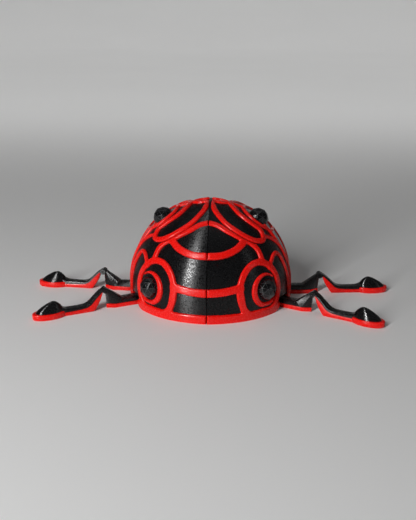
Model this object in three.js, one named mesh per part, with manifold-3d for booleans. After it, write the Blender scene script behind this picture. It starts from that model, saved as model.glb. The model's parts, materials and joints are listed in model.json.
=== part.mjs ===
// Six-legged desktop spider robot: a domed shell in two halves over a round chassis, with
// raised tracery, faceted eyes, and six folding legs that swing at the hip and bend at the knee.
// Millimetres. Origin on the floor under the dome's centre, +Z up, the face towards -Y.

import * as THREE from "three";
import { ConvexGeometry } from "three/addons/geometries/ConvexGeometry.js";
import { mergeVertices } from "three/addons/utils/BufferGeometryUtils.js";
import Module from "manifold-3d";

// ---- driving dimensions -------------------------------------------------------------------

const GAP = 0.3; // air left between any two neighbouring pieces

const DOME = { radius: 39.6, wall: 2, skirt: 8, columns: 32, rows: 7 };
const TRACERY = { inner: DOME.radius + GAP, outer: 40.7, step: 4.8 };
const RIM_HEIGHT = 5;
const DOORWAY = { width: 9.9, height: 5.6 };
// The halves swell by this much towards the seam, and meet there in a faint ridge.
const RIDGE = { rise: 0.4, spread: 26 };

const PLATE = { radius: 36.9, bottom: 6, top: 8, shaftHole: 1.9 };
const BELLY_RADIUS = 14;
const POST = { radius: 1.5, peg: 0.8, x: 13.5, y: 14 };
const BATTERY = { x: 20, y: 30, z: 8 };
const BOARD = { side: 34, thick: 1.6, bottom: 19.3 };
const SNAP = { angles: [30, 120], width: 5, inner: 35.3, thick: 1 };

const EYE = { radius: 5.5, centre: 38.7, studRadius: 1.5, studHole: 1.8, studEnd: 36.5 };
const CRESCENT = { outer: 8.1, inner: 6.25 };

const HIP_BACK = 7; // from the dome's surface back to the hip axis
const HIP = { root: 3.6, shaft: 1.5, hole: 1.6, top: 4.9, bottom: 0.4 };
const SERVO = { length: 13, width: 7, height: 9, ahead: 1.7 };
const LIMB_WIDTH = 4.5;
const SOLE_TOP = 2;
const NECK_TOP = 4.4;
const SHOULDER = 10.5; // where the thigh's sides start to close towards its point
const THIGH_TIP = 14.7;
const KNEE = { u: 15.1, z: 9.3, knuckle: 1.3, half: 0.8, pin: 0.5, hole: 0.62, relief: 1.65 };
const EAR = { inner: 1.1, outer: 2.1 };
const FOOT = { u: 42.3, a: 8.1, b: 4.5, rim: 2.85, peak: 7.8, lean: -2.2, columns: 12 };

// Each pair of legs: the bearing of its hip and the heading of its leg, in degrees from the
// face round towards the side, mirrored for the other side.
const LEG_PAIRS = [
  { name: "front", bearing: 65.3, heading: 62.3 },
  { name: "middle", bearing: 91.6, heading: 96 },
  { name: "rear", bearing: 150, heading: 163 },
];

// Eyes: bearing and latitude on the dome.
const EYES = [
  { name: "front", bearing: 44.3, latitude: 7.1 },
  { name: "top", bearing: 90, latitude: 53.5 },
  { name: "rear", bearing: 135.7, latitude: 7.1 },
];

const SIDES = [
  { name: "right", sign: 1 },
  { name: "left", sign: -1 },
];

const BLACK = { color: 0x141416, roughness: 0.42, metalness: 0.0 };
const RED = { color: 0xf02418, roughness: 0.38, metalness: 0.0 };
const STEEL = { color: 0xb8bcc2, roughness: 0.3, metalness: 1.0 };
const SERVO_BLUE = { color: 0x2b3442, roughness: 0.5, metalness: 0.0 };
const BOARD_GREEN = { color: 0x17452c, roughness: 0.55, metalness: 0.0 };
const CELL_GREY = { color: 0x9aa0a6, roughness: 0.4, metalness: 0.2 };

// ---- solids -------------------------------------------------------------------------------

const wasm = await Module();
wasm.setup();

const rad = THREE.MathUtils.degToRad;

function solid(geometry) {
  const bare = geometry.index ? geometry.toNonIndexed() : geometry.clone();
  bare.deleteAttribute("normal");
  bare.deleteAttribute("uv");
  const merged = mergeVertices(bare, 1e-4);
  return new wasm.Manifold(
    new wasm.Mesh({
      numProp: 3,
      vertProperties: merged.attributes.position.array,
      triVerts: new Uint32Array(merged.index.array),
    }),
  );
}

function geometryOf(made) {
  const mesh = made.getMesh();
  const geometry = new THREE.BufferGeometry();
  geometry.setAttribute("position", new THREE.BufferAttribute(mesh.vertProperties, 3));
  geometry.setIndex(new THREE.BufferAttribute(mesh.triVerts, 1));
  const faceted = geometry.toNonIndexed();
  faceted.computeVertexNormals();
  return faceted;
}

function join(solids) {
  return solids.reduce((whole, next) => whole.add(next));
}

function cut(whole, tools) {
  return tools.reduce((left, tool) => left.subtract(tool), whole);
}

function box(x0, x1, y0, y1, z0, z1) {
  const geometry = new THREE.BoxGeometry(x1 - x0, y1 - y0, z1 - z0);
  geometry.translate((x0 + x1) / 2, (y0 + y1) / 2, (z0 + z1) / 2);
  return geometry;
}

// An upright cylinder.
function post(x, y, radius, z0, z1, columns = 12) {
  const geometry = new THREE.CylinderGeometry(radius, radius, z1 - z0, columns);
  geometry.rotateX(Math.PI / 2);
  geometry.translate(x, y, (z0 + z1) / 2);
  return geometry;
}

// A cylinder across the leg, between two values of y, on the knee's axis.
function kneeRod(radius, y0, y1, columns = 10) {
  const geometry = new THREE.CylinderGeometry(radius, radius, y1 - y0, columns);
  geometry.translate(KNEE.u, (y0 + y1) / 2, KNEE.z);
  return geometry;
}

function add(parent, name, made, finish) {
  const mesh = new THREE.Mesh(
    made.isBufferGeometry ? made : geometryOf(made),
    new THREE.MeshStandardMaterial(finish),
  );
  mesh.name = name;
  parent.add(mesh);
}

// ---- the dome's surface -------------------------------------------------------------------

// The way out of the dome at a bearing and a latitude. Below latitude 0 the skirt is upright.
function outward(bearing, latitude) {
  const b = rad(bearing);
  const l = rad(Math.max(latitude, 0));
  return new THREE.Vector3(Math.cos(l) * Math.sin(b), -Math.cos(l) * Math.cos(b), Math.sin(l));
}

// A point at a radius on the dome. Negative latitudes run down the skirt at the same scale.
function onDome(bearing, latitude, radius = DOME.radius) {
  const p = outward(bearing, latitude).multiplyScalar(radius);
  p.z += DOME.skirt + DOME.radius * rad(Math.min(latitude, 0));
  return p;
}

// The outward direction and the base height for any point near the surface.
function frameAt(p) {
  const rise = Math.max(p.z - DOME.skirt, 0);
  const out = new THREE.Vector3(p.x, p.y, rise).normalize();
  return { out, foot: Math.min(p.z, DOME.skirt) };
}

// How far the surface stands out beyond the sphere, along a direction out of the dome.
function ridge(out) {
  const turn = THREE.MathUtils.radToDeg(Math.asin(Math.min(Math.abs(out.x), 1)));
  return RIDGE.rise * Math.max(1 - turn / RIDGE.spread, 0) ** 2;
}

// A band laid on the dome along a smooth line through [bearing, latitude] points. A cutting
// band is grown on every side by the gap that its neighbour needs.
function band(points, width, sign, end, grow = 0) {
  const through = points.map(([b, l]) => {
    const p = onDome(b, l);
    return new THREE.Vector3(p.x * sign, p.y * end, p.z);
  });
  const curve = new THREE.CatmullRomCurve3(through, false, "centripetal");
  const steps = Math.max(2, Math.round(curve.getLength() / TRACERY.step));
  const geometry = new THREE.BoxGeometry(1, 1, 1, 1, 1, steps);
  const place = geometry.attributes.position;
  const p = new THREE.Vector3();
  for (let i = 0; i < place.count; i++) {
    p.fromBufferAttribute(place, i);
    const t = p.z + 0.5;
    const centre = curve.getPointAt(t);
    const { out } = frameAt(centre);
    const across = new THREE.Vector3().crossVectors(out, curve.getTangentAt(t)).normalize();
    const beside = centre.addScaledVector(across, p.x * (width + 2 * grow));
    const edge = frameAt(beside);
    const layerRadius = p.y > 0 ? TRACERY.outer + grow : TRACERY.inner - grow;
    const radius = layerRadius + ridge(edge.out);
    place.setXYZ(
      i,
      edge.out.x * radius,
      edge.out.y * radius,
      edge.foot + edge.out.z * radius,
    );
  }
  return solid(geometry);
}

// A dome-shaped layer between two radii, open underneath.
function layer(inner, outer) {
  const profile = [];
  const arc = (radius, from, to) => {
    for (let i = 0; i <= DOME.rows; i++) {
      const a = THREE.MathUtils.lerp(from, to, i / DOME.rows) * (Math.PI / 2);
      const x = i === (from ? 0 : DOME.rows) ? 0 : radius * Math.cos(a);
      profile.push(new THREE.Vector2(x, DOME.skirt + radius * Math.sin(a)));
    }
  };
  arc(inner, 1, 0);
  profile.push(new THREE.Vector2(inner, 0), new THREE.Vector2(outer, 0));
  arc(outer, 0, 1);
  const geometry = new THREE.LatheGeometry(profile, DOME.columns);
  geometry.rotateX(Math.PI / 2);
  const place = geometry.attributes.position;
  const p = new THREE.Vector3();
  for (let i = 0; i < place.count; i++) {
    p.fromBufferAttribute(place, i);
    const { out } = frameAt(p);
    p.addScaledVector(out, ridge(out));
    place.setXYZ(i, p.x, p.y, p.z);
  }
  return solid(geometry);
}

// Everything on one side of the seam plane.
function halfSpace(sign) {
  const near = GAP / 2;
  const far = 60;
  return solid(sign > 0 ? box(near, far, -far, far, 0, far) : box(-far, -near, -far, far, 0, far));
}

// A cylinder that points out of the dome, for studs, holes and crescents.
function spoke(bearing, latitude, sign, radius, from, to, columns = 24) {
  const out = outward(bearing, latitude);
  out.x *= sign;
  const geometry = new THREE.CylinderGeometry(radius, radius, to - from, columns);
  const turn = new THREE.Quaternion().setFromUnitVectors(new THREE.Vector3(0, 1, 0), out);
  geometry.applyQuaternion(turn);
  const middle = out.multiplyScalar((from + to) / 2);
  geometry.translate(middle.x, middle.y, middle.z + DOME.skirt);
  return solid(geometry);
}

// ---- legs' places -------------------------------------------------------------------------

// A leg's own frame: u along the leg from the dome's surface, v across it, z up.
function legFrame(pair, side) {
  const b = rad(pair.bearing);
  const h = rad(pair.heading);
  const group = new THREE.Group();
  group.position.set(side.sign * 40 * Math.sin(b), -40 * Math.cos(b), 0);
  group.rotation.z = Math.atan2(-Math.cos(h), side.sign * Math.sin(h));
  group.updateMatrixWorld(true);
  return group;
}

function hipPlace(pair, side) {
  return new THREE.Vector3(-HIP_BACK, 0, 0).applyMatrix4(legFrame(pair, side).matrixWorld);
}

// The way out that a leg needs through the dome's skirt.
function doorway(pair, side) {
  const half = DOORWAY.width / 2;
  const geometry = box(-HIP_BACK - 1, 6, -half, half, -1, DOORWAY.height);
  return solid(geometry.applyMatrix4(legFrame(pair, side).matrixWorld));
}

// ---- shell --------------------------------------------------------------------------------

// Tabs inside the skirt that clip over and under the chassis plate's edge.
function snapTabs(side) {
  const reach = DOME.radius - DOME.wall / 2;
  const tabs = [];
  for (const angle of SNAP.angles)
    for (const z of [PLATE.top + GAP, PLATE.bottom - GAP - SNAP.thick]) {
      const tab = box(-SNAP.width / 2, SNAP.width / 2, -reach, -SNAP.inner, z, z + SNAP.thick);
      tab.rotateZ(side.sign * rad(angle));
      tabs.push(solid(tab));
    }
  return join(tabs);
}

function shell(side) {
  const whole = layer(DOME.radius - DOME.wall, DOME.radius).add(snapTabs(side));
  const holes = EYES.map((eye) =>
    spoke(eye.bearing, eye.latitude, side.sign, EYE.studHole, EYE.studEnd - 2, DOME.radius + 2, 8),
  );
  const doors = LEG_PAIRS.map((pair) => doorway(pair, side));
  return cut(whole.intersect(halfSpace(side.sign)), [...holes, ...doors]);
}

// ---- tracery ------------------------------------------------------------------------------

// Lines of one quarter, [bearing, latitude] from the face round to the side.
const LINES = {
  belt: { width: 3.8, points: [[-3, 9.3], [10, 9.8], [23, 11.6]] },
  smile: { width: 3.5, points: [[-3, 33.5], [9, 34], [18, 35.6], [26, 38.2], [34, 42]] },
  brow: {
    width: 2.6,
    points: [[-3, 59.2], [10, 57.2], [21, 51.6], [33, 44.6], [40.2, 40.2], [44.5, 34.5], [45, 26]],
  },
  post: { width: 2.6, points: [[23, 10], [24, -1], [24.8, -9]] },
  petal: {
    width: 2.3,
    points: [[8, 84.6], [12, 78], [13.5, 70.5], [22, 58.8], [32, 50.3], [40, 44.5], [48, 40.6],
      [57, 40], [62, 46], [59, 52.4], [55.5, 59], [56, 66], [72, 74], [90, 76.2]],
  },
  crown: { width: 2.3, points: [[8, 84.6], [42, 84.9], [65, 81.5], [90, 76.2]] },
  shoulder: { width: 2.1, points: [[90, 76.2], [90, 66]] },
  flank: { width: 2.1, points: [[77, 47], [77, 34], [80, 19], [82, 5], [81, -9]] },
  link: { width: 1.8, points: [[60, 42], [69, 38], [77, 31]] },
  hook: { width: 2.1, points: [[50, 21], [55, 25], [60, 27.5], [66, 27], [71, 18], [74, 5], [75.5, -9]] },
};

// At the back the post stands nearer to the seam, clear of the rear doorway, and the petal runs
// down into the brow.
const BACK_LINES = {
  post: [[23, 10], [20.5, -1], [19, -9]],
  petal: [[90, 76.2], [72, 74], [56, 66], [55.5, 59], [59, 52.4], [62, 46], [57, 40], [48, 40.6],
    [40, 44.5], [32, 49.6], [24, 53]],
};

// Half-widths of the ring are in degrees of bearing and of latitude.
const RING = { bearing: 39.5, latitude: 7.6, across: 17, up: 18.9, width: 3.2 };

// The closed ring round a lower eye, as two overlapping bands.
function eyeRing(sign, end, grow = 0) {
  const { bearing, latitude, across, up, width } = RING;
  const overlap = 0.1;
  return join(
    [0, Math.PI].map((start) => {
      const points = [];
      const stops = 10;
      for (let i = 0; i <= stops; i++) {
        const t = start - overlap + ((Math.PI + 2 * overlap) * i) / stops;
        points.push([bearing + across * Math.cos(t), latitude + up * Math.sin(t)]);
      }
      return band(points, width, sign, end, grow);
    }),
  );
}

// The ring round an upper eye, true to its circle on the dome.
function topRing(eye, sign, end) {
  const angle = 13;
  const centre = outward(eye.bearing, eye.latitude);
  const east = new THREE.Vector3(0, 1, 0);
  const north = new THREE.Vector3().crossVectors(centre, east).normalize();
  const points = [];
  for (let i = 0; i <= 10; i++) {
    const t = rad(-96 + 19.2 * i);
    const p = centre.clone().multiplyScalar(Math.cos(rad(angle)));
    p.addScaledVector(north, Math.sin(rad(angle)) * Math.sin(t));
    p.addScaledVector(east, -Math.sin(rad(angle)) * Math.cos(t));
    const latitude = THREE.MathUtils.radToDeg(Math.asin(p.z));
    const bearing = THREE.MathUtils.radToDeg(Math.atan2(p.x, -p.y));
    points.push([bearing, latitude]);
  }
  return band(points, 2.1, sign, end);
}

function rimBand(sign) {
  const low = layer(TRACERY.inner, TRACERY.outer);
  const reach = TRACERY.outer + 1;
  const keep = solid(box(-reach, reach, -reach, reach, 0, RIM_HEIGHT));
  return low.intersect(keep).intersect(halfSpace(sign));
}

function tracery(side) {
  const bands = [rimBand(side.sign)];
  for (const end of [1, -1]) {
    for (const [name, line] of Object.entries(LINES)) {
      const points = (end < 0 && BACK_LINES[name]) || line.points;
      bands.push(band(points, line.width, side.sign, end));
    }
    bands.push(eyeRing(side.sign, end));
    bands.push(topRing(EYES[1], side.sign, end));
  }
  const doors = LEG_PAIRS.map((pair) => doorway(pair, side));
  return cut(join(bands).intersect(halfSpace(side.sign)), doors);
}

// ---- eyes ---------------------------------------------------------------------------------

function eye(place, side) {
  const { bearing, latitude } = place;
  const out = outward(bearing, latitude);
  out.x *= side.sign;
  const ball = new THREE.IcosahedronGeometry(EYE.radius, 1);
  ball.applyQuaternion(new THREE.Quaternion().setFromUnitVectors(new THREE.Vector3(0, 0, 1), out));
  const middle = out.clone().multiplyScalar(EYE.centre);
  ball.translate(middle.x, middle.y, middle.z + DOME.skirt);
  const seat = spoke(bearing, latitude, side.sign, 2 * EYE.radius, 30, TRACERY.inner, 12);
  const cap = solid(ball).subtract(seat);
  return cap.add(
    spoke(bearing, latitude, side.sign, EYE.studRadius, EYE.studEnd, TRACERY.outer + 1, 8),
  );
}

// A crescent beside a lower eye: two circles whose centres lie apart.
function crescent(side, end) {
  const disc = (bearing, latitude, radius) => {
    const from = TRACERY.inner - 2;
    const made = spoke(bearing, latitude, side.sign, radius, from, TRACERY.outer + 2, 18);
    return end > 0 ? made : made.mirror([0, 1, 0]);
  };
  const outer = disc(43.2, 6.8, CRESCENT.outer);
  const inner = disc(44.8, 7.2, CRESCENT.inner);
  const made = layer(TRACERY.inner, TRACERY.outer).intersect(outer).subtract(inner);
  const reach = TRACERY.outer + 1;
  const rim = solid(box(-reach, reach, -reach, reach, -1, RIM_HEIGHT + GAP));
  return cut(made, [eyeRing(side.sign, end, GAP), rim]);
}

// ---- chassis and what it carries ----------------------------------------------------------

function postPlaces() {
  return [1, -1].flatMap((sx) => [1, -1].map((sy) => [sx * POST.x, sy * POST.y]));
}

function chassis() {
  const plate = solid(post(0, 0, PLATE.radius, PLATE.bottom, PLATE.top, 32));
  const belly = solid(post(0, 0, BELLY_RADIUS, 0, PLATE.bottom + 0.5, 24));
  const posts = postPlaces().flatMap(([x, y]) => [
    solid(post(x, y, POST.radius, PLATE.top - 0.5, BOARD.bottom - GAP, 8)),
    solid(post(x, y, POST.peg, PLATE.top, BOARD.bottom + BOARD.thick + 0.6, 8)),
  ]);
  const holes = SIDES.flatMap((side) =>
    LEG_PAIRS.map((pair) => {
      const hip = hipPlace(pair, side);
      return solid(post(hip.x, hip.y, PLATE.shaftHole, PLATE.bottom - 1, PLATE.top + 1, 12));
    }),
  );
  return cut(join([plate, belly, ...posts]), holes);
}

function battery() {
  const z = PLATE.top + GAP;
  return box(-BATTERY.x / 2, BATTERY.x / 2, -BATTERY.y / 2, BATTERY.y / 2, z, z + BATTERY.z);
}

function board() {
  const half = BOARD.side / 2;
  const top = BOARD.bottom + BOARD.thick;
  const plate = solid(box(-half, half, -half, half, BOARD.bottom, top));
  const chip = solid(box(-5, 5, -5, 5, top - 0.2, top + 1.4));
  const socket = solid(box(-4, 4, half - 6, half + 1, top - 0.2, top + 2.6));
  const holes = postPlaces().map(([x, y]) =>
    solid(post(x, y, POST.peg + GAP, BOARD.bottom - 1, top + 1, 8)),
  );
  return cut(join([plate, chip, socket]), holes);
}

function servo() {
  const front = SERVO.ahead - HIP_BACK;
  const half = SERVO.width / 2;
  const bottom = PLATE.top + GAP;
  const top = bottom + SERVO.height;
  const body = solid(box(front - SERVO.length, front, -half, half, bottom, top));
  const flange = solid(
    box(front - SERVO.length - 1, front + 0.6, -half + 1, half - 1, bottom + 6, bottom + 7),
  );
  return body.add(flange);
}

// ---- legs ---------------------------------------------------------------------------------

function hipShaft() {
  return post(-HIP_BACK, 0, HIP.shaft, HIP.bottom + 0.6, PLATE.top);
}

function thigh() {
  const half = LIMB_WIDTH / 2;
  const bottom = SOLE_TOP + GAP;
  const root = solid(post(-HIP_BACK, 0, HIP.root, HIP.bottom, HIP.top, 14));
  const neck = solid(box(-HIP_BACK, SHOULDER - 3, -half, half, bottom, NECK_TOP));
  const corners = [];
  for (const s of [1, -1])
    corners.push(
      new THREE.Vector3(SHOULDER - 3.5, s * half, bottom),
      new THREE.Vector3(SHOULDER - 3.5, s * half, NECK_TOP),
      new THREE.Vector3(SHOULDER, s * half, bottom),
      new THREE.Vector3(THIGH_TIP - 0.4, s * 0.3, bottom),
      new THREE.Vector3(KNEE.u - 0.5, s * KNEE.half, KNEE.z + 1.1),
    );
  const peak = solid(new ConvexGeometry(corners));
  const knuckle = solid(kneeRod(KNEE.knuckle, -KNEE.half, KNEE.half));
  const reliefs = [1, -1].map((s) =>
    solid(kneeRod(KNEE.relief, s > 0 ? KNEE.half : -4, s > 0 ? 4 : -KNEE.half)),
  );
  const limb = cut(join([root, neck, peak]), reliefs).add(knuckle);
  return cut(limb, [
    solid(kneeRod(KNEE.hole, -3, 3)),
    solid(post(-HIP_BACK, 0, HIP.hole, -1, PLATE.top)),
  ]);
}

function thighSole() {
  const half = LIMB_WIDTH / 2;
  const outline = new THREE.Shape();
  outline.moveTo(-1.5, -half);
  outline.lineTo(SHOULDER, -half);
  outline.lineTo(THIGH_TIP, -0.4);
  outline.lineTo(THIGH_TIP, 0.4);
  outline.lineTo(SHOULDER, half);
  outline.lineTo(-1.5, half);
  outline.closePath();
  return new THREE.ExtrudeGeometry(outline, { depth: SOLE_TOP, bevelEnabled: false });
}

// A side profile in u and z, given thickness across the leg.
function sideProfile(draw, width) {
  const outline = new THREE.Shape();
  draw(outline);
  outline.closePath();
  const options = { depth: width, bevelEnabled: false, curveSegments: 4 };
  const geometry = new THREE.ExtrudeGeometry(outline, options);
  geometry.rotateX(Math.PI / 2);
  geometry.translate(0, width / 2, 0);
  return solid(geometry);
}

function footOval(grow, z0, z1) {
  const outline = new THREE.Shape();
  outline.absellipse(FOOT.u, 0, FOOT.a + grow, FOOT.b + grow, 0, 2 * Math.PI);
  const options = { depth: z1 - z0, bevelEnabled: false, curveSegments: 6 };
  const geometry = new THREE.ExtrudeGeometry(outline, options);
  geometry.translate(0, 0, z0);
  return solid(geometry);
}

// The fin's and the arm's lower edge of the dark upper part; the sole follows it a gap below.
const SHANK_EDGE = [[16.4, 9.2], [19.7, 6.4], [22.4, 4], [25.2, 2.6], [29.9, 2.2]];

function footDome() {
  const profile = [[0, 0], [3.9, 0], [3.45, 1.3], [2.35, 2.9], [1.15, 4.1], [0.4, 4.6], [0, 4.65]];
  const geometry = new THREE.LatheGeometry(
    profile.map(([r, z]) => new THREE.Vector2(r, z)),
    FOOT.columns,
  );
  geometry.rotateX(Math.PI / 2);
  geometry.scale(1.72, 1, 1);
  const lift = FOOT.rim + GAP;
  const place = geometry.attributes.position;
  for (let i = 0; i < place.count; i++)
    place.setXYZ(
      i,
      place.getX(i) + FOOT.u + (FOOT.lean * place.getZ(i)) / (FOOT.peak - lift),
      place.getY(i),
      place.getZ(i) + lift,
    );
  return solid(geometry);
}

function shank() {
  const body = sideProfile((outline) => {
    outline.moveTo(KNEE.u, KNEE.z + KNEE.knuckle);
    outline.lineTo(16.6, 10.2);
    outline.lineTo(19.8, 7.4);
    outline.quadraticCurveTo(23.3, 4.2, 26, 3.5);
    outline.lineTo(33, 3.5);
    outline.lineTo(38, 4.9);
    outline.lineTo(38, 2.3);
    for (const [u, z] of [...SHANK_EDGE].reverse()) outline.lineTo(u, z);
    outline.lineTo(KNEE.u, KNEE.z - 0.6);
  }, 2 * EAR.outer);
  const ears = [1, -1].map((s) =>
    solid(kneeRod(KNEE.knuckle, s > 0 ? EAR.inner : -EAR.outer, s > 0 ? EAR.outer : -EAR.inner)),
  );
  const notch = footOval(GAP, -1, FOOT.rim + GAP);
  const fork = solid(kneeRod(KNEE.relief, -EAR.inner, EAR.inner));
  const limb = cut(join([body, ...ears]), [fork, notch]).add(footDome());
  return cut(limb, [solid(kneeRod(KNEE.hole, -3, 3))]);
}

function shankSole() {
  const arm = sideProfile((outline) => {
    outline.moveTo(SHANK_EDGE[0][0] + 0.2, SHANK_EDGE[0][1] - 0.45);
    for (const [u, z] of SHANK_EDGE.slice(1)) outline.lineTo(u - 0.2, z - GAP);
    outline.lineTo(FOOT.u, SHANK_EDGE.at(-1)[1] - GAP);
    outline.lineTo(FOOT.u, 0);
    outline.lineTo(22.3, 0);
    outline.lineTo(21.4, 0.35);
    outline.lineTo(18, 4.8);
  }, LIMB_WIDTH);
  return arm.add(footOval(0, 0, FOOT.rim));
}

function kneePin() {
  return kneeRod(KNEE.pin, -EAR.outer, EAR.outer);
}

// ---- assembly -----------------------------------------------------------------------------

const robot = new THREE.Group();

add(robot, "chassis_plate", chassis(), BLACK);
add(robot, "battery", battery(), CELL_GREY);
add(robot, "controller_board", board(), BOARD_GREEN);

for (const side of SIDES) {
  add(robot, `shell_${side.name}`, shell(side), BLACK);
  add(robot, `tracery_${side.name}`, tracery(side), RED);
  for (const place of EYES) add(robot, `eye_${place.name}_${side.name}`, eye(place, side), BLACK);
  add(robot, `crescent_front_${side.name}`, crescent(side, 1), RED);
  add(robot, `crescent_rear_${side.name}`, crescent(side, -1), RED);

  for (const pair of LEG_PAIRS) {
    const leg = legFrame(pair, side);
    const label = `${pair.name}_${side.name}`;
    add(leg, `hip_servo_${label}`, servo(), SERVO_BLUE);
    add(leg, `hip_shaft_${label}`, hipShaft(), STEEL);
    add(leg, `thigh_${label}`, thigh(), BLACK);
    add(leg, `thigh_sole_${label}`, thighSole(), RED);
    add(leg, `knee_pin_${label}`, kneePin(), BLACK);
    add(leg, `shank_${label}`, shank(), BLACK);
    add(leg, `shank_sole_${label}`, shankSole(), RED);
    robot.add(leg);
  }
}

export default robot;
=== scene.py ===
"""Six-legged desktop spider robot, printed in black and red plastic: detailed pieces on its CAD frame."""

import json
import math

import bmesh
import bpy
import numpy as np
from mathutils import Matrix, Vector


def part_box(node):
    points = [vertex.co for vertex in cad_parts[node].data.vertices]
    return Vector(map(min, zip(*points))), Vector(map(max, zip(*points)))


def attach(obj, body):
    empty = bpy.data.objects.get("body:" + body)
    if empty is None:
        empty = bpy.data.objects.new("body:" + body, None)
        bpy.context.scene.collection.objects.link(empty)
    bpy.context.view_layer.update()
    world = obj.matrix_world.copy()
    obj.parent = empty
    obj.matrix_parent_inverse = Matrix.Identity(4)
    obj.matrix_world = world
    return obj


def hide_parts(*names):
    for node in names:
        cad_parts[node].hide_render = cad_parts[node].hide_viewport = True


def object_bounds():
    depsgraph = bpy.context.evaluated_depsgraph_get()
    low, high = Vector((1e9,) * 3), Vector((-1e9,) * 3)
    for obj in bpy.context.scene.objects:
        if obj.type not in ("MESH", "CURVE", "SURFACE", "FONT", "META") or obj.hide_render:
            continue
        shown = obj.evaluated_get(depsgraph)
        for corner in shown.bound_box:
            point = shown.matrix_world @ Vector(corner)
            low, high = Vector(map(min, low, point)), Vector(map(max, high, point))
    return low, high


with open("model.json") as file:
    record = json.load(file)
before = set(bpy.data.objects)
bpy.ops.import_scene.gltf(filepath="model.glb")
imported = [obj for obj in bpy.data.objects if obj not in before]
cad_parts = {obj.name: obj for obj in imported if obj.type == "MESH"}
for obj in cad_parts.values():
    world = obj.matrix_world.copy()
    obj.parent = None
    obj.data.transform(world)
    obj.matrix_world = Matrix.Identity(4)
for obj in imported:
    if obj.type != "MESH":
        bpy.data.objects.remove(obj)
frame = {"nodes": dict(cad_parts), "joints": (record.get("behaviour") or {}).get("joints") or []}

CAD_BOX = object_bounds()
MM = 0.001
SIDES = {"right": 1, "left": -1}
ENDS = {"front": -1, "rear": 1}
PAIRS = ("front", "middle", "rear")
EYE_ROWS = ("front", "top", "rear")
UP, ACROSS = (0, 0, 1), (0, 1, 0)


def add_object(name, data):
    obj = bpy.data.objects.new(name, data)
    bpy.context.scene.collection.objects.link(obj)
    return obj


# ---- camera and stage ---------------------------------------------------------------------

CAMERA_PLACE = (0.0161, -0.3425, 0.1355)
CAMERA_AIM = (-0.0481, 0.9440, -0.3264)
LENS, SENSOR_WIDTH = 49.9, 36
ROBOT_MIDDLE = (0, 0, 0.02)

# Each panel's place, aim, size, power and spread. The floor's panel has a narrow spread, as a gridded
# one has, which keeps its light on the floor behind the robot.
PANELS = {
    "key_strip": ((-0.34, -0.556, 0.31), ROBOT_MIDDLE, (0.02, 0.58), 4.6, 180),
    "side_strip": ((0.70, -0.30, 0.30), ROBOT_MIDDLE, (0.014, 0.5), 0.15, 180),
    "floor_wash": ((0, 2.25, 1.0), (0, 2.25, 0), (4.0, 3.7), 22.0, 44),
}
OVERHEAD_POWER, OVERHEAD_WIDTH, OVERHEAD_TILT = 0.3, 70, -25
SKY_POWER = 0.05

FLOOR_REACH, WALL_START, WALL_BEND = 8.0, 2.5, 1.5
FLOOR_COLOURS = (0.82, 0.82, 0.815), (0.86, 0.86, 0.855)


def look_along(obj, direction):
    obj.rotation_euler = Vector(direction).to_track_quat("-Z", "Y").to_euler()


def make_camera():
    data = bpy.data.cameras.new("camera")
    data.lens = LENS
    data.sensor_width = SENSOR_WIDTH
    data.clip_start = 0.01
    camera = add_object("camera", data)
    camera.location = CAMERA_PLACE
    look_along(camera, CAMERA_AIM)
    bpy.context.scene.camera = camera


def make_panels():
    for name, (place, aim, size, power, spread) in PANELS.items():
        data = bpy.data.lights.new(name, "AREA")
        data.shape = "RECTANGLE"
        data.size, data.size_y = size
        data.energy = power
        data.spread = math.radians(spread)
        panel = add_object(name, data)
        panel.location = place
        look_along(panel, Vector(aim) - Vector(place))


def make_sky():
    """A wide soft light from above and a little behind, and a faint even glow all round."""
    data = bpy.data.lights.new("overhead", "SUN")
    data.energy = OVERHEAD_POWER
    data.angle = math.radians(OVERHEAD_WIDTH)
    add_object("overhead", data).rotation_euler = (math.radians(OVERHEAD_TILT), 0, 0)
    world = bpy.data.worlds.new("studio")
    world.use_nodes = True
    background = world.node_tree.nodes["Background"]
    background.inputs["Color"].default_value = (1, 1, 1, 1)
    background.inputs["Strength"].default_value = SKY_POWER
    bpy.context.scene.world = world
    bpy.context.scene.view_settings.view_transform = "Standard"


def make_floor():
    """A pale floor that bends up into a wall far behind the robot."""
    n = Nodes("floor_paint")
    n.surface("Base Color", n.mix(n.noise(3), *FLOOR_COLOURS))
    n.surface("Roughness", 0.55)
    turn = np.linspace(0, math.pi / 2, 24)
    curve = zip(WALL_START + WALL_BEND * np.sin(turn), WALL_BEND - WALL_BEND * np.cos(turn))
    section = [(-FLOOR_REACH, 0), *curve, (WALL_START + WALL_BEND, FLOOR_REACH)]
    points = [(x, y, z) for y, z in section for x in (-FLOOR_REACH, FLOOR_REACH)]
    faces = [(2 * i, 2 * i + 1, 2 * i + 3, 2 * i + 2) for i in range(len(section) - 1)]
    mesh = bpy.data.meshes.new("floor")
    mesh.from_pydata(points, [], faces)
    mesh.shade_smooth()
    mesh.materials.append(n.material)
    floor = add_object("floor", mesh)
    floor.location.z = CAD_BOX[0][2]


# ---- materials ----------------------------------------------------------------------------

# A Mix node's colour sockets come after those for numbers and vectors.
MIX_A, MIX_B, MIX_RESULT = 6, 7, 2


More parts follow.
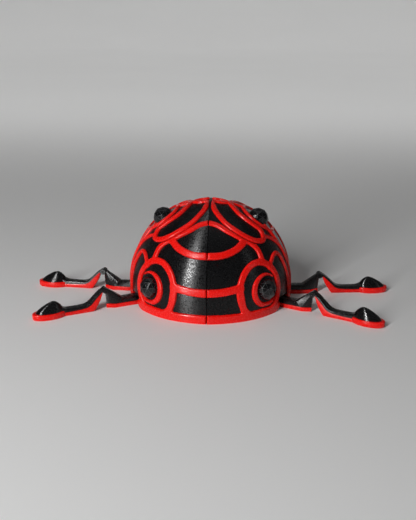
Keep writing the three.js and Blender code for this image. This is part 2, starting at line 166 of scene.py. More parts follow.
class Nodes:
    """A short way to write a material's nodes. Each value is a plain one or another node's output."""

    def __init__(self, name):
        self.material = bpy.data.materials.new(name)
        self.material.use_nodes = True
        self.tree = self.material.node_tree
        self.shader = self.tree.nodes["Principled BSDF"]

    def add(self, kind, **settings):
        node = self.tree.nodes.new(kind)
        for key, value in settings.items():
            setattr(node, key, value)
        return node

    def feed(self, socket, value):
        if isinstance(value, (int, float, tuple)):
            socket.default_value = value
        else:
            self.tree.links.new(value, socket)

    def surface(self, socket, value):
        self.feed(self.shader.inputs[socket], value)

    def place(self):
        return self.add("ShaderNodeTexCoord").outputs["Object"]

    def height(self):
        split = self.add("ShaderNodeSeparateXYZ")
        self.feed(split.inputs[0], self.place())
        return split.outputs["Z"]

    def pair(self, kind, operation, a, b):
        node = self.add(kind, operation=operation)
        self.feed(node.inputs[0], a)
        self.feed(node.inputs[1], b)
        return node.outputs[0]

    def math(self, operation, a, b=0.0):
        return self.pair("ShaderNodeMath", operation, a, b)

    def cross(self, a, b):
        return self.pair("ShaderNodeVectorMath", "CROSS_PRODUCT", a, b)

    def wave(self, along, period):
        return self.math("SINE", self.math("MULTIPLY", along, 2 * math.pi / period))

    def noise(self, scale, detail=2.0):
        node = self.add("ShaderNodeTexNoise")
        self.feed(node.inputs["Vector"], self.place())
        self.feed(node.inputs["Scale"], scale)
        self.feed(node.inputs["Detail"], detail)
        return node.outputs["Fac"]

    def ramp(self, value, given, wanted):
        """The value, carried from one range to another and held at its ends."""
        node = self.add("ShaderNodeMapRange")
        self.feed(node.inputs["Value"], value)
        for key, number in zip(("From Min", "From Max", "To Min", "To Max"), (*given, *wanted)):
            self.feed(node.inputs[key], number)
        return node.outputs["Result"]

    def mix(self, factor, a, b):
        node = self.add("ShaderNodeMix", data_type="RGBA")
        self.feed(node.inputs["Factor"], factor)
        self.feed(node.inputs[MIX_A], (*a, 1))
        self.feed(node.inputs[MIX_B], (*b, 1))
        return node.outputs[MIX_RESULT]

    def bump(self, height, strength, distance):
        node = self.add("ShaderNodeBump")
        self.feed(node.inputs["Strength"], strength)
        self.feed(node.inputs["Distance"], distance)
        self.feed(node.inputs["Height"], height)
        return node.outputs["Normal"]


LAYER = 0.2 * MM
NIGHT, SOOT = (0.001, 0.001, 0.0012), (0.004, 0.004, 0.0048)
# Lighter greys for the eyes' bevelled edges: a painted highlight.
EDGE_GLINT_DARK, EDGE_GLINT_LIGHT = (0.008, 0.008, 0.009), (0.03, 0.03, 0.034)
RED, BRIGHT_RED = (0.7, 0.005, 0.003), (0.88, 0.009, 0.005)
# Upright but for a little, so that no normal lies exactly along it.
NEARLY_UP = (0.01, 0.02, 1)

# Two colours, roughness, the lines' relief in millimetres, sparkle, specular level, and whether grooved.
FILAMENTS = {
    "black_filament": (NIGHT, SOOT, 0.3, 0.003, 1.0, 0.4, True),
    "leg_filament": (NIGHT, SOOT, 0.28, 0.003, 0.7, 0.5, True),
    "eye_filament": (NIGHT, SOOT, 0.13, 0.0015, 0.4, 0.5, False),
    # The eyes' edges: the lighter grey is a painted highlight, and the rougher, more specular plastic
    # catches the lamps.
    "painted_glint_edge": (EDGE_GLINT_DARK, EDGE_GLINT_LIGHT, 0.34, 0.003, 1.0, 0.8, False),
    "red_filament": (RED, BRIGHT_RED, 0.23, 0.0025, 0.5, 0.36, False),
}
# Two colours and roughness.
MOULDINGS = {
    "servo_case": ((0.022, 0.034, 0.06), (0.035, 0.05, 0.085), 0.45),
    "solder_mask": ((0.008, 0.07, 0.028), (0.012, 0.1, 0.04), 0.4),
    "battery_wrap": ((0.3, 0.32, 0.35), (0.38, 0.4, 0.43), 0.35),
}


def printed(name):
    """Fused-filament plastic: level layer lines, fine glints along them, faint blotches of sheen.

    Grooved plastic is silky: its layer lines draw each highlight out up and down the slope."""
    dark, light, roughness, relief, sparkle, specular, grooved = FILAMENTS[name]
    n = Nodes(name)
    if grooved:
        normal = n.add("ShaderNodeNewGeometry").outputs["Normal"]
        n.surface("Tangent", n.cross(normal, n.cross(NEARLY_UP, normal)))
        n.surface("Anisotropic", 1.0)
    height = n.math("ADD", n.height(), n.math("MULTIPLY", n.noise(90), 0.4 * LAYER))
    fine = n.wave(height, LAYER)
    broad = n.wave(height, 3.1 * LAYER)
    grain = n.noise(1300, 1.0)
    swell = n.ramp(grain, (0.3, 0.7), (1 - 0.4 * sparkle, 1 + 0.4 * sparkle))
    lines = n.math("MULTIPLY", n.math("ADD", fine, n.math("MULTIPLY", broad, 1.2)), swell)
    n.surface("Normal", n.bump(lines, 1.0, relief * MM))
    glint = n.ramp(n.noise(1500, 4.0), (0.4, 0.6), (roughness - 0.12 * sparkle, roughness + 0.14 * sparkle))
    blotch = n.ramp(n.noise(60, 3.0), (0.3, 0.7), (-0.02, 0.03))
    n.surface("Roughness", n.math("ADD", glint, blotch))
    tint = n.ramp(n.math("ADD", broad, n.math("MULTIPLY", grain, 2.0)), (-0.5, 2.5), (0.0, 1.0))
    n.surface("Base Color", n.mix(tint, dark, light))
    n.surface("Specular IOR Level", specular)
    return n.material


def moulded(name):
    dark, light, roughness = MOULDINGS[name]
    n = Nodes(name)
    n.surface("Roughness", n.ramp(n.noise(400, 3.0), (0.3, 0.7), (roughness - 0.06, roughness + 0.08)))
    n.surface("Base Color", n.mix(n.noise(150, 3.0), dark, light))
    n.surface("Normal", n.bump(n.noise(3500), 0.4, 0.03 * MM))
    return n.material


def turned_steel():
    n = Nodes("turned_steel")
    n.surface("Metallic", 1.0)
    n.surface("Roughness", n.ramp(n.noise(1500), (0.3, 0.7), (0.22, 0.4)))
    n.surface("Base Color", n.mix(n.noise(300), (0.52, 0.53, 0.55), (0.66, 0.67, 0.7)))
    n.surface("Normal", n.bump(n.noise(3000, 1.0), 0.3, 0.02 * MM))
    return n.material


# ---- the dome's sizes, in millimetres -----------------------------------------------------

shell_low, shell_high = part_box("shell_right")
SEAM = shell_low.x / MM
DOME_R = shell_high.x / MM
KEEL, KEEL_SPREAD = 0.4, math.radians(16)
SKIRT = shell_high.z / MM - DOME_R - KEEL
DOME_CENTRE = Vector((0, 0, SKIRT))
BLACK_R = DOME_R + 0.15
RED_R = DOME_R + 1.1
# The shells' inner lips stop this far from the middle; a point this near the seam's edge is on it; and the
# rounding along the seam starts this far outside it.
LIP_GAP, SEAM_NEAR, SEAM_EASE = 0.01, 0.005, 0.02
RIM_HEIGHT, RIM_FLARE = 4.1, 3.4

# A doorway's half-width, its height, and how far behind the start of its leg's frame it begins.
DOOR_HALF, DOOR_HIGH, DOOR_DEEP = 4.95, 5.6, 12
# How far behind the start of its leg's frame each hip's axis stands.
HIP_BACK = 7.0

# How finely each kind of piece is made, where its relief starts and ends, its depth and its rounding.
SHELL = {"step": 0.9, "base": BLACK_R, "top": BLACK_R, "deep": 2.0, "rounding": 0.3}
BANDS = {"step": 0.26, "base": BLACK_R - 0.05, "top": RED_R, "deep": 0.8, "rounding": 0.8}
CRESCENTS = {**BANDS, "step": 0.3}

# Lines of one quarter as [bearing, latitude], and their widths.
LINES = {
    "belt": (3.8, [(-3, 9.3), (10, 9.8), (23, 11.6)]),
    "smile": (3.5, [(-3, 33.5), (9, 34), (18, 35.6), (26, 38.2), (34, 42)]),
    "brow": (2.8, [(-3, 59.2), (10, 57.2), (21, 51.6), (33, 44.6), (40.2, 40.2), (44.5, 34.5), (45, 26)]),
    "post": (2.6, [(23.3, 10), (24.8, -1), (26, -9)]),
    "back_post": (2.6, [(23, 10), (20.5, -1), (19, -9)]),
    "petal": (2.8, [(8, 84.6), (12, 78), (13.5, 70.5), (22, 58.8), (32, 50.3), (40, 44.5), (48, 40.6),
                    (57, 40), (62, 46), (59, 52.4), (55.5, 59), (56, 66), (72, 74), (90, 76.2)]),
    "back_petal": (2.8, [(90, 76.2), (72, 74), (56, 66), (55.5, 59), (59, 52.4), (62, 46), (57, 40),
                         (48, 40.6), (40, 44.5), (32, 49.6), (24, 53)]),
    "crown": (2.3, [(8, 84.6), (42, 84.9), (65, 81.5), (90, 76.2)]),
    "shoulder": (2.1, [(90, 76.2), (90, 66)]),
    "flank": (2.1, [(77, 47), (77, 34), (80, 19), (82, 5), (81, -9)]),
    "link": (1.8, [(60, 42), (69, 38), (77, 31)]),
    "hook": (2.1, [(50, 21), (55, 25), (60, 27.5), (66, 27), (71, 18), (74, 5), (75.5, -9)]),
}
RING = {"bearing": 39.5, "latitude": 7.6, "across": 17, "up": 18.9, "width": 3.2}
TOP_RING = {"bearing": 90, "latitude": 53.5, "radius": 13, "width": 2.1}
# The lines that only one end of the dome has.
LINE_ENDS = {"post": "front", "petal": "front", "back_post": "rear", "back_petal": "rear"}

# The crown's lines stand clear of the face's lines by a groove, and are tied to them by the links.
CROWN_LINES = ("petal", "back_petal", "crown", "shoulder", "top_ring")
LINK_LINES = ("link", "flank")
GROOVE = 0.45
CROWN_PARTING = 0.5
FILLET, CROWN_FILLET, TIE_FILLET = 0.9, 0.4, 0.15

# A crescent is the first circle less the second: bearing, latitude and radius.
CRESCENT = ((43.2, 6.8, 8.1), (44.8, 7.2, 6.25))
CRESCENT_GAP = 0.8

# A distance to a line that isn't near, and a field's value where there is nothing.
FAR, NOTHING = 1e9, -30.0
LINE_REACH = 6


# ---- the dome's surface -------------------------------------------------------------------


def on_dome(bearing, latitude):
    """Points on the dome's nominal surface; negative latitudes run down the upright skirt."""
    turn = np.radians(np.asarray(bearing, float))
    lift = np.radians(np.asarray(latitude, float))
    up = np.maximum(lift, 0)
    z = SKIRT + DOME_R * np.sin(up) + DOME_R * np.minimum(lift, 0)
    return np.stack([DOME_R * np.cos(up) * np.sin(turn), -DOME_R * np.cos(up) * np.cos(turn), z], -1)


def foot_of(p):
    """Where each point is measured from: the dome's centre, or beside the skirt the axis at its height."""
    return np.minimum(p[:, 2:3], SKIRT) * [0, 0, 1]


def project(p):
    """Points pulled on to the dome's nominal surface."""
    foot = foot_of(p)
    away = p - foot
    return foot + away * (DOME_R / np.linalg.norm(away, axis=1, keepdims=True))


def keel(p):
    """How much the surface swells towards the seam, so that the halves meet in a faint ridge."""
    out = np.linalg.norm(p - foot_of(p), axis=1)
    turn = np.arcsin(np.clip(np.abs(p[:, 0]) / np.maximum(out, 1e-6), 0, 1))
    return KEEL * np.maximum(1 - turn / KEEL_SPREAD, 0) ** 2


def smooth_through(rows, steps_between):
    """A smooth curve through rows of numbers, ending at the last."""
    p = np.vstack([2 * rows[0] - rows[1], rows, 2 * rows[-1] - rows[-2]])
    out = []
    for a, b, c, d in zip(p, p[1:], p[2:], p[3:]):
        t = np.linspace(0, 1, steps_between(b, c), endpoint=False)[:, None]
        out.append(0.5 * (2 * b + (c - a) * t + (2 * a - 5 * b + 4 * c - d) * t ** 2
                          + (3 * b - 3 * c + d - a) * t ** 3))
    return np.vstack([*out, rows[-1:]])


def smooth_line(points, spacing=0.8):
    """A smooth run of points on the dome through bearings and latitudes."""
    def steps_between(b, c):
        return max(2, int(np.linalg.norm(c - b) / spacing))

    return project(smooth_through(on_dome(*zip(*points)), steps_between))


def ring_line():
    t = np.linspace(0, 2 * np.pi, 40)
    return list(zip(RING["bearing"] + RING["across"] * np.cos(t), RING["latitude"] + RING["up"] * np.sin(t)))


def circle_on_dome(bearing, latitude, radius, count=60):
    """A true circle on the dome; radius in degrees."""
    out = (on_dome(bearing, latitude) - [0, 0, SKIRT]) / DOME_R
    east = np.array([-out[1], out[0], 0.0])
    east /= np.linalg.norm(east)
    north = np.cross(out, east)
    t = np.linspace(0, 2 * np.pi, count)[:, None]
    r = math.radians(radius)
    p = math.cos(r) * out + math.sin(r) * (np.cos(t) * east + np.sin(t) * north)
    return p * DOME_R + [0, 0, SKIRT]


def pattern():
    """Each line's width and its points."""
    lines = {name: (width, smooth_line(points)) for name, (width, points) in LINES.items()}
    lines["ring"] = (RING["width"], smooth_line(ring_line(), 1.2))
    top = TOP_RING
    lines["top_ring"] = (top["width"], circle_on_dome(top["bearing"], top["latitude"], top["radius"]))
    return lines


PATTERN = pattern()


def leg_frames():
    """Each leg's frame from its joints: origin at the dome's surface, u outwards, v across, z up."""
    joints = {joint["name"]: np.array(joint["pos_m"]) / MM for joint in frame["joints"]}
    frames = {}
    for side in SIDES:
        for pair in PAIRS:
            label = f"{pair}_{side}"
            hip = joints[f"hip_swing_{label}"][:2]
            knee = joints[f"knee_{label}"][:2]
            along = (knee - hip) / np.linalg.norm(knee - hip)
            start = hip + HIP_BACK * along
            frames[label] = Matrix((
                (along[0], -along[1], 0, start[0]),
                (along[1], along[0], 0, start[1]),
                (0, 0, 1, 0),
                (0, 0, 0, 1),
            ))
    return frames


LEGS = leg_frames()


# ---- fields: how far, in millimetres, a point is inside the shape that a piece covers -----


def quarter_fold(p):
    """The front quarter's copy of each point: the pattern repeats at the back and on both sides."""
    return np.stack([np.abs(p[:, 0]), -np.abs(p[:, 1]), p[:, 2]], 1)


def distance_to_line(p, line):
    """The distance from each point to a run of points, segment by segment."""
    best = np.full(len(p), FAR)
    near = np.all((p > line.min(0) - LINE_REACH) & (p < line.max(0) + LINE_REACH), axis=1)
    q = p[near]
    least = np.full(len(q), FAR)
    for a, b in zip(line[:-1], line[1:]):
        ab = b - a
        t = np.clip((q - a) @ ab / (ab @ ab), 0, 1)
        least = np.minimum(least, np.linalg.norm(q - a - t[:, None] * ab, axis=1))
    best[near] = least
    return best


def soft_max(a, b, fillet=FILLET):
    """The larger of two fields, with a fillet of about that size where they meet."""
    h = np.clip(0.5 + 0.5 * (a - b) / fillet, 0, 1)
    return b + (a - b) * h + fillet * h * (1 - h)


def door_field(p, side, flare=0.0):
    """How far a point is outside the doorways of one side; negative inside.

    A flare rounds the doorway's foot outwards by that radius."""
    away = np.full(len(p), FAR)
    for pair in PAIRS:
        local = np.array(LEGS[f"{pair}_{side}"].inverted())
        q = p @ local[:3, :3].T + local[:3, 3]
        below = np.maximum(flare - q[:, 2], 0)
        widen = flare - np.sqrt(np.maximum(flare ** 2 - below ** 2, 0))
        outside = np.maximum(np.abs(q[:, 1]) - DOOR_HALF - widen, q[:, 2] - DOOR_HIGH)
        away = np.minimum(away, np.where(q[:, 0] > -DOOR_DEEP, outside, FAR))
    return away


def tracery_field(p, side):
    q = quarter_fold(p)
    face = RIM_HEIGHT - p[:, 2]
    crown = np.full(len(p), NOTHING)
    links = np.full(len(p), NOTHING)
    for name, (width, line) in PATTERN.items():
        away = distance_to_line(q, line)
        if name in LINE_ENDS:
            away = np.where(p[:, 1] * ENDS[LINE_ENDS[name]] > 0, away, FAR)
        strand = np.where(away < FAR, width / 2 - away, NOTHING)
        if name in CROWN_LINES:
            crown = soft_max(crown, strand, CROWN_FILLET)
        elif name in LINK_LINES:
            links = soft_max(links, strand)
        else:
            face = soft_max(face, strand)
    crown = np.minimum(crown, q[:, 0] - CROWN_PARTING)
    face = np.minimum(face, -crown - GROOVE)
    field = soft_max(soft_max(face, links), crown, TIE_FILLET)
    return np.minimum(field, door_field(p, side, RIM_FLARE))


def crescent_field(end):
    def field(p, side):
        q = quarter_fold(p)
        whole, bite = (radius - np.linalg.norm(q - on_dome(bearing, latitude), axis=1)
                       for bearing, latitude, radius in CRESCENT)
        made = np.minimum(whole, -bite)
        made = np.minimum(made, -tracery_field(p, side) - CRESCENT_GAP)
        return np.where(p[:, 1] * end > 0, made, NOTHING)
    return field


# ---- mesh helpers -------------------------------------------------------------------------

WELD, SLIVER = 0.004 * MM, 0.002 * MM
ROD_SIDES = 32


def shade(obj, angle):
    """Smooth shading, but for edges sharper than the angle."""
    bpy.ops.object.select_all(action="DESELECT")
    obj.select_set(True)
    bpy.context.view_layer.objects.active = obj
    bpy.ops.object.shade_smooth_by_angle(angle=math.radians(angle))


def build(name, points, faces, smooth=35):
    """A mesh object from points in millimetres, cleaned and turned to face outwards."""
    mesh = bpy.data.meshes.new(name)
    mesh.from_pydata((np.asarray(points) * MM).tolist(), [], [tuple(int(i) for i in f) for f in faces])
    work = bmesh.new()
    work.from_mesh(mesh)
    bmesh.ops.remove_doubles(work, verts=work.verts, dist=WELD)
    bmesh.ops.dissolve_degenerate(work, edges=work.edges, dist=SLIVER)
    bmesh.ops.recalc_face_normals(work, faces=work.faces)
    work.to_mesh(mesh)
    work.free()
    obj = add_object(name, mesh)
    shade(obj, smooth)
    return obj


def from_bmesh(name, work):
    mesh = bpy.data.meshes.new(name)
    work.to_mesh(mesh)
    work.free()
    return add_object(name, mesh)


def hull(name, points):
    """The solid with flat faces round points in millimetres."""
    work = bmesh.new()
    for p in points:
        work.verts.new(Vector(p) * MM)
    bmesh.ops.convex_hull(work, input=work.verts)
    bmesh.ops.dissolve_limit(work, angle_limit=math.radians(1), verts=work.verts, edges=work.edges)
    return from_bmesh(name, work)


def rod(name, centre, axis, radius, length):
    """A cylinder, its sizes in millimetres."""
    work = bmesh.new()
    bmesh.ops.create_cone(work, cap_ends=True, segments=ROD_SIDES, radius1=radius * MM, radius2=radius * MM,
                          depth=length * MM)
    turn = Vector(UP).rotation_difference(Vector(axis)).to_matrix().to_4x4()
    work.transform(Matrix.Translation(Vector(centre) * MM) @ turn)
    return from_bmesh(name, work)


def loft(name, rings, smooth=35):
    """Closed rings of equal count joined into a tube with capped ends."""
    n = len(rings[0])
    faces = []
    for i in range(len(rings) - 1):
        for j in range(n):
            k = (j + 1) % n
            faces.append((i * n + j, i * n + k, (i + 1) * n + k, (i + 1) * n + j))
    faces.append(tuple(range(n))[::-1])
    faces.append(tuple((len(rings) - 1) * n + j for j in range(n)))
    return build(name, np.vstack(rings), faces, smooth)


def apply_modifiers(obj):
    bpy.context.view_layer.update()
    graph = bpy.context.evaluated_depsgraph_get()
    mesh = bpy.data.meshes.new_from_object(obj.evaluated_get(graph))
    obj.modifiers.clear()
    obj.data = mesh


def bevel(obj, width, segments=2, angle=30, slot=-1):
    """Rounds the edges sharper than the angle, in the material of a slot if one is given."""
    edges = obj.modifiers.new("edges", "BEVEL")
    edges.width = width * MM
    edges.segments = segments
    edges.limit_method = "ANGLE"
    edges.angle_limit = math.radians(angle)
    edges.material = slot
    apply_modifiers(obj)


def combine(obj, other, operation):
    join = obj.modifiers.new("join", "BOOLEAN")
    join.operation = operation
    join.object = other
    join.solver = "EXACT"
    apply_modifiers(obj)
    bpy.data.objects.remove(other)


def unite(obj, *others):
    for other in others:
        combine(obj, other, "UNION")


def cut(obj, *others):
    for other in others:
        combine(obj, other, "DIFFERENCE")


def dress(obj, body, node, material=None):
    """Gives a piece its body and its material if there is one, and hides the CAD node it stands for."""
    if material:
        obj.data.materials.append(material)
    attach(obj, body)
    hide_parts(node)


# ---- pieces that lie on the dome ----------------------------------------------------------

# The columns stop this angle short of the side's farthest point, where they would run together.
POLE_GAP = 0.004
SNAP_ROUNDS, SNAP_CLOSE, SNAP_NUDGE = 3, 0.01, 0.05


def half_grid(step):
    """A grid of points over one half of the dome, wall and cap in one sheet, and its quads.

    Columns turn away from the seam; rows run up the front wall, over the top and down the back wall."""
    columns = int(math.pi / 2 * DOME_R / step)
    turn = np.linspace(math.asin(SEAM / DOME_R), math.pi / 2 - POLE_GAP, columns)
    wall_rows = max(3, int(SKIRT / step))
    arc_rows = int(math.pi * DOME_R / step) + 1
    wall = np.linspace(0, SKIRT, wall_rows, endpoint=False)
    lift = np.concatenate([wall, np.full(arc_rows, SKIRT), wall[::-1]])
    over = np.linspace(0, math.pi, arc_rows)
    arc = np.concatenate([np.zeros(wall_rows), over, np.full(wall_rows, math.pi)])
    t, a = np.meshgrid(turn, arc, indexing="ij")
    p = np.stack([np.sin(t), -np.cos(t) * np.cos(a), np.cos(t) * np.sin(a)], -1) * DOME_R
    p[..., 2] += lift
    index = np.arange(t.size).reshape(t.shape)
    quads = np.stack([index[:-1, :-1], index[1:, :-1], index[1:, 1:], index[:-1, 1:]], -1)
    return p.reshape(-1, 3), quads.reshape(-1, 4)


def snap(p, field_of, field, edge):
    """Points along a field's edge are slid on to it, so that the edge runs clean."""
    for _ in range(SNAP_ROUNDS):
        off = np.where(edge & (np.abs(field) > SNAP_CLOSE))[0]
        if not len(off):
            break
        q = p[off]
        slope = np.stack([(field_of(project(q + SNAP_NUDGE * axis)) - field[off]) / SNAP_NUDGE
                          for axis in np.eye(3)], 1)
        size = np.maximum((slope ** 2).sum(1, keepdims=True), 0.25)
        p[off] = project(q - slope * (field[off][:, None] / size))
        field[off] = field_of(p[off])
    return p, field


def edge_curve(field, rounding):
    """A quarter round: 0 at an edge, 1 from the rounding inwards."""
    t = np.clip(field / rounding, 0, 1)
    return np.sqrt(np.maximum(1 - (1 - t) ** 2, 0))


def open_edges(faces):
    """The edges that only one face has, each in that face's direction."""
    edges = {}
    for face in faces:
        for a, b in zip(face, np.roll(face, -1)):
            if (b, a) in edges:
                del edges[(b, a)]
            else:
                edges[(a, b)] = True
    return edges


def close_sheets(name, upper, lower, faces, mirrored):
    """Two sheets with the same faces, joined all along their open edges."""
    count = len(upper)
    top = [tuple(face) for face in faces]
    under = [tuple(face[::-1] + count) for face in faces]
    sides = [(b, a, a + count, b + count) for a, b in open_edges(faces)]
    every = top + under + sides
    if mirrored:
        every = [face[::-1] for face in every]
    return build(name, np.vstack([upper, lower]), every)


def relief_mesh(name, side, field_of, step, base, top, deep, rounding, lip=False):
    """A closed piece lying on the dome: where the field is positive, raised to top with rounded edges.

    With a lip, its inner edge along the seam reaches in to meet the other half's."""
    sign = SIDES[side]

    def side_field(q):
        return field_of(q, side)

    p, quads = half_grid(step)
    p = p * [sign, 1, 1]
    field = side_field(p)
    keep = field[quads].mean(1) > 0
    used, border = np.zeros(len(p), bool), np.zeros(len(p), bool)
    used[quads[keep].ravel()] = True
    border[quads[~keep].ravel()] = True
    p, field = snap(p, side_field, field, used & border)
    out = p - foot_of(p)
    out /= np.linalg.norm(out, axis=1, keepdims=True)
    foot = p - out * DOME_R
    from_seam = np.abs(p[:, 0]) - SEAM
    rise = np.minimum(edge_curve(field, rounding), edge_curve(from_seam + SEAM_EASE, rounding))
    swell = keel(p)
    upper = foot + out * (base + (top - base) * rise + swell)[:, None]
    lower = foot + out * (base - deep + swell)[:, None]
    if lip:
        lower[from_seam < SEAM_NEAR, 0] = sign * LIP_GAP
    renumber = np.cumsum(used) - 1
    return close_sheets(name, upper[used], lower[used], renumber[quads[keep]], sign < 0)


def make_dome(black, red):
    for side in SIDES:
        shell = relief_mesh(f"dome_{side}", side, door_field, lip=True, **SHELL)
        dress(shell, "body", f"shell_{side}", black)
        bands = relief_mesh(f"bands_{side}", side, tracery_field, **BANDS)
        dress(bands, "body", f"tracery_{side}", red)
        for row, end in ENDS.items():
            crescent = relief_mesh(f"eye_crescent_{row}_{side}", side, crescent_field(end), **CRESCENTS)
            dress(crescent, "body", f"crescent_{row}_{side}", red)


EYE_R = 5.35
EYE_CENTRE, EYE_FLOOR = 38.85, BLACK_R - 0.8
EYE_TURN = math.radians(12)
EYE_EDGE, FACET_ANGLE, EYE_SMOOTH = 0.34, 8, 12
# The material slot of the eyes' edges, which carry a painted highlight.
GLINT_EDGE_SLOT = 1


def faceted_ball(name, node):
    """A ball of triangles centred in the dome's wall, turned outwards and cut off flat inside."""
    low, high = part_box(node)
    out = ((low + high) / 2 / MM - DOME_CENTRE).normalized()
    turn = out.to_track_quat("Z", "Y").to_matrix().to_4x4() @ Matrix.Rotation(EYE_TURN, 4, "Z")
    work = bmesh.new()
    bmesh.ops.create_icosphere(work, subdivisions=2, radius=EYE_R * MM)
    work.transform(Matrix.Translation((out * EYE_CENTRE + DOME_CENTRE) * MM) @ turn)
    bmesh.ops.bisect_plane(work, geom=work.verts[:] + work.edges[:] + work.faces[:], clear_inner=True,
                           plane_co=(out * EYE_FLOOR + DOME_CENTRE) * MM, plane_no=out)
    bmesh.ops.contextual_create(work, geom=[edge for edge in work.edges if edge.is_boundary])
    return from_bmesh(name, work)


def make_eyes(glaze, glint_edges):
    """The facets keep the glaze. Their bevelled edges get a lighter grey plastic, a painted highlight that
    stands in for glints.
    """
    for side in SIDES:
        for row in EYE_ROWS:
            node = f"eye_{row}_{side}"
            eye = faceted_ball(f"faceted_eye_{row}_{side}", node)
            eye.data.materials.append(glaze)
            eye.data.materials.append(glint_edges)
            bevel(eye, EYE_EDGE, angle=FACET_ANGLE, slot=GLINT_EDGE_SLOT)
            shade(eye, EYE_SMOOTH)
            dress(eye, "body", node)


# ---- legs, each built in its own frame ----------------------------------------------------

HALF = 2.25
CHAMFER = 0.3
THIGH_EDGE, SOLE_EDGE = 0.22, 0.3
THIGH_SMOOTH, LIMB_SMOOTH = 30, 40
SOLE_TOP, THIGH_LOW = 2.0, 2.2
KNEE_U, KNEE_Z = 15.1, 9.3
PIN_BORE, PIN_BORE_LONG = 0.6, 6.0
HIP_BORE, HIP_BORE_LONG, HIP_BORE_Z = 1.6, 8.0, 2.5
KNUCKLE_R, KNUCKLE_WIDTH = 1.3, 1.6
FORK_R, FORK_WIDTH = 1.6, 2.2
EAR_V, EAR_WIDTH = 1.6, 1.0
EAR_ROOM_V, EAR_ROOM_WIDTH = 2.4, 3.2
HIP_EYE_R, HIP_EYE_Z, HIP_EYE_HIGH = 3.6, 2.65, 4.5

# Corners of the thigh's neck and of its peak, on one side.
NECK = [(-HIP_BACK, HALF, THIGH_LOW), (-HIP_BACK, HALF - CHAMFER, 4.7),
        (8.0, HALF, THIGH_LOW), (8.0, HALF - CHAMFER, 4.4)]
PEAK = [(6.6, HALF, THIGH_LOW), (6.6, HALF - CHAMFER, 4.5), (10.4, HALF, THIGH_LOW), (14.4, 0.3, THIGH_LOW),
        (KNEE_U - 0.7, 0.75, KNEE_Z + 1.1), (KNEE_U - 0.1, 0.7, KNEE_Z + 1.0)]
THIGH_SOLE = [(-1.5, HALF), (10.5, HALF), (14.4, 0.45), (14.7, 0)]

# The shank's stations: lower edge of the sole, line between sole and top, crest of the top, half-width.
STATIONS = [
    ((16.3, 9.1), (16.4, 9.5), (15.9, 10.5), 1.8),
    ((16.9, 7.6), (17.7, 8.25), (18.2, 9.0), 2.0),
    ((18.0, 4.8), (19.9, 6.2), (20.4, 7.05), 2.1),
    ((19.5, 2.4), (21.3, 4.75), (21.9, 5.6), 2.2),
    ((21.0, 0.4), (22.7, 3.4), (23.3, 4.4), HALF),
    ((22.6, 0.0), (24.6, 2.45), (25.1, 3.55), HALF),
    ((26.0, 0.0), (27.0, 2.1), (27.2, 3.3), HALF),
    ((30.5, 0.0), (30.5, 1.95), (30.5, 3.25), HALF),
    ((34.4, 0.0), (34.4, 1.9), (34.4, 3.5), HALF),
    ((37.0, 0.0), (37.0, 1.9), (37.0, 4.6), HALF),
]
STATION_STEPS = 5
# The shank's section: parts of its half-width and of its height.
CREST = [(1, 0), (1, 0.62), (0.97, 0.78), (0.9, 0.9), (0.8, 0.96), (0.5, 1.0), (0, 1.0)]
CREST_INSET = 0.05
SOLE_CORNER = 0.4
WEB = [(KNEE_U + 0.2, KNEE_Z + 1.2), (KNEE_U + 0.9, KNEE_Z - 0.6), (17.3, 9.2), (17.1, 8.9)]
WEB_FROM, WEB_TO = 1.1, 2.0

FOOT_U, FOOT_A, FOOT_B, FOOT_RIM, FOOT_TOP = 42.3, 7.92, 4.34, 2.85, 7.8
FOOT_LEAN, FOOT_PINCH = -2.2, 0.4
DOME_INSET_A, DOME_INSET_B, DOME_SUNK = 1.4, 0.6, 0.4
FOOT_TURN = np.linspace(0, 2 * np.pi, 64, endpoint=False)
# The rim's insets and heights, and the foot dome's parts of its radius and of its height.
RIM_SECTION = [(0.6, 0.0), (0.2, 0.12), (0.0, 0.5), (0.0, FOOT_RIM - 0.45), (0.14, FOOT_RIM - 0.12),
               (0.5, FOOT_RIM)]
FOOT_SECTION = [(1, 0), (1, 0.1), (0.96, 0.2), (0.86, 0.37), (0.71, 0.54), (0.52, 0.72), (0.33, 0.87),
                (0.17, 0.96), (0.06, 0.995), (0.01, 1.0)]


def both_sides(points):
    return [(u, s * v, z) for s in (1, -1) for u, v, z in points]


def knee_rod(name, v, radius, width):
    return rod(name, (KNEE_U, v, KNEE_Z), ACROSS, radius, width)


def put_on_leg(obj, label):
    """From the leg's own millimetre frame to its place on the robot."""
    place = LEGS[label].copy()
    place.translation *= MM
    obj.data.transform(place)
    obj.data.update()


def thigh(label, black):
    """A neck and peak on the hip's eye, with a knuckle for the shank's fork and a bore for each pin."""
    obj = rod(f"upper_leg_{label}", (-HIP_BACK, 0, HIP_EYE_Z), UP, HIP_EYE_R, HIP_EYE_HIGH)
    unite(obj, hull("neck", both_sides(NECK)), hull("peak", both_sides(PEAK)))
    bevel(obj, THIGH_EDGE)
    for s in (1, -1):
        cut(obj, knee_rod("ear_room", s * EAR_ROOM_V, FORK_R, EAR_ROOM_WIDTH))
    unite(obj, knee_rod("knuckle", 0, KNUCKLE_R, KNUCKLE_WIDTH))
    cut(obj, knee_rod("bore", 0, PIN_BORE, PIN_BORE_LONG),
        rod("hip_bore", (-HIP_BACK, 0, HIP_BORE_Z), UP, HIP_BORE, HIP_BORE_LONG))
    shade(obj, THIGH_SMOOTH)
    put_on_leg(obj, label)
    dress(obj, f"upper_leg_{label}", f"thigh_{label}", black)


def thigh_sole(label, red):
    outline = [(u, -v) for u, v in THIGH_SOLE] + THIGH_SOLE[-2::-1]
    rings = [np.array([(u, v, z) for u, v in outline]) for z in (0, SOLE_TOP)]
    obj = loft(f"upper_sole_{label}", rings)
    bevel(obj, SOLE_EDGE, 3)
    shade(obj, LIMB_SMOOTH)
    put_on_leg(obj, label)
    dress(obj, f"upper_leg_{label}", f"thigh_sole_{label}", red)


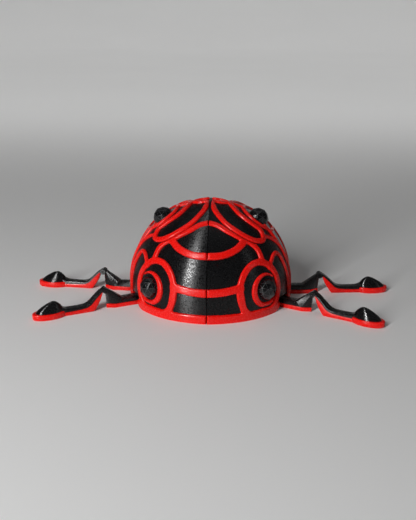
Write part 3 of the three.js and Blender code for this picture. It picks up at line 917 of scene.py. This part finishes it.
def fine_stations():
    """The stations joined smoothly, with several steps between each pair."""
    rows = np.array([[*low, *mid, *top, half] for low, mid, top, half in STATIONS])
    fine = smooth_through(rows, lambda b, c: STATION_STEPS)
    fine[:, 1] = np.maximum(fine[:, 1], 0)
    return fine


def limb_ring(low, high, half, section):
    """One ring of a limb, from low to high in the side plane, with the section on both sides."""
    right = [(half * v, low + (high - low) * t) for v, t in section]
    left = [(-half * v, low + (high - low) * t) for v, t in reversed(section) if v]
    return np.array([(side[0], v, side[1]) for v, side in right + left])


def sole_section(low, high, half):
    """Straight sides with a softened corner at each end."""
    up = SOLE_CORNER / max(np.linalg.norm(high - low), 0.3)
    inward = SOLE_CORNER / half
    start = [(1 - inward, 0), (1 - inward * 0.3, up * 0.3), (1, up)]
    return start + [(v, 1 - t) for v, t in reversed(start)]


def foot_ring(u, half_u, half_v, z):
    heights = np.full(len(FOOT_TURN), z)
    return np.stack([u + half_u * np.cos(FOOT_TURN), half_v * np.sin(FOOT_TURN), heights], 1)


def foot_rim():
    rings = [foot_ring(FOOT_U, FOOT_A - inset, FOOT_B - inset, z) for inset, z in RIM_SECTION]
    return loft("foot_rim", rings)


def foot_dome():
    """A dome that leans in towards the knee, with its flanks drawn in to a faint ridge."""
    a, b = FOOT_A - DOME_INSET_A, FOOT_B - DOME_INSET_B
    base = FOOT_RIM - DOME_SUNK
    rings = []
    for r, t in FOOT_SECTION:
        ridge = 1 - FOOT_PINCH * np.abs(np.sin(FOOT_TURN)) * t * (1 - t)
        rings.append(foot_ring(FOOT_U + FOOT_LEAN * t, a * r, b * r * ridge, base + (FOOT_TOP - base) * t))
    return loft("foot_dome", rings, 50)


def shank(label, black):
    """A crested arm and its foot dome, with a forked knee round the thigh's knuckle."""
    rings = [limb_ring(row[2:4], row[4:6], row[6] - CREST_INSET, CREST) for row in fine_stations()]
    obj = loft(f"lower_leg_{label}", rings)
    unite(obj, foot_dome())
    for s in (1, -1):
        web = hull("web", [(u, s * v, z) for v in (WEB_FROM, WEB_TO) for u, z in WEB])
        unite(obj, knee_rod("ear", s * EAR_V, KNUCKLE_R, EAR_WIDTH), web)
    cut(obj, knee_rod("fork", 0, FORK_R, FORK_WIDTH), knee_rod("bore", 0, PIN_BORE, PIN_BORE_LONG))
    shade(obj, LIMB_SMOOTH)
    put_on_leg(obj, label)
    dress(obj, f"lower_leg_{label}", f"shank_{label}", black)


def shank_sole(label, red):
    rings = []
    for row in fine_stations():
        low, high, half = row[0:2], row[2:4], row[6]
        rings.append(limb_ring(low, high, half, sole_section(low, high, half)))
    obj = loft(f"lower_sole_{label}", rings)
    unite(obj, foot_rim())
    shade(obj, LIMB_SMOOTH)
    put_on_leg(obj, label)
    dress(obj, f"lower_leg_{label}", f"shank_sole_{label}", red)


# ---- pieces kept from the CAD frame -------------------------------------------------------


def coat(node, material):
    materials = frame["nodes"][node].data.materials
    materials.clear()
    materials.append(material)


def coat_inner_pieces(black):
    steel, case = turned_steel(), moulded("servo_case")
    coat("chassis_plate", black)
    coat("battery", moulded("battery_wrap"))
    coat("controller_board", moulded("solder_mask"))
    for label in LEGS:
        coat(f"hip_servo_{label}", case)
        coat(f"hip_shaft_{label}", steel)
        coat(f"knee_pin_{label}", black)


def main():
    make_camera()
    make_panels()
    make_sky()
    make_floor()
    black, limb, glaze, glint_edges, red = (printed(name) for name in FILAMENTS)
    make_dome(black, red)
    make_eyes(glaze, glint_edges)
    for label in LEGS:
        thigh(label, limb)
        thigh_sole(label, red)
        shank(label, limb)
        shank_sole(label, red)
    coat_inner_pieces(black)


main()
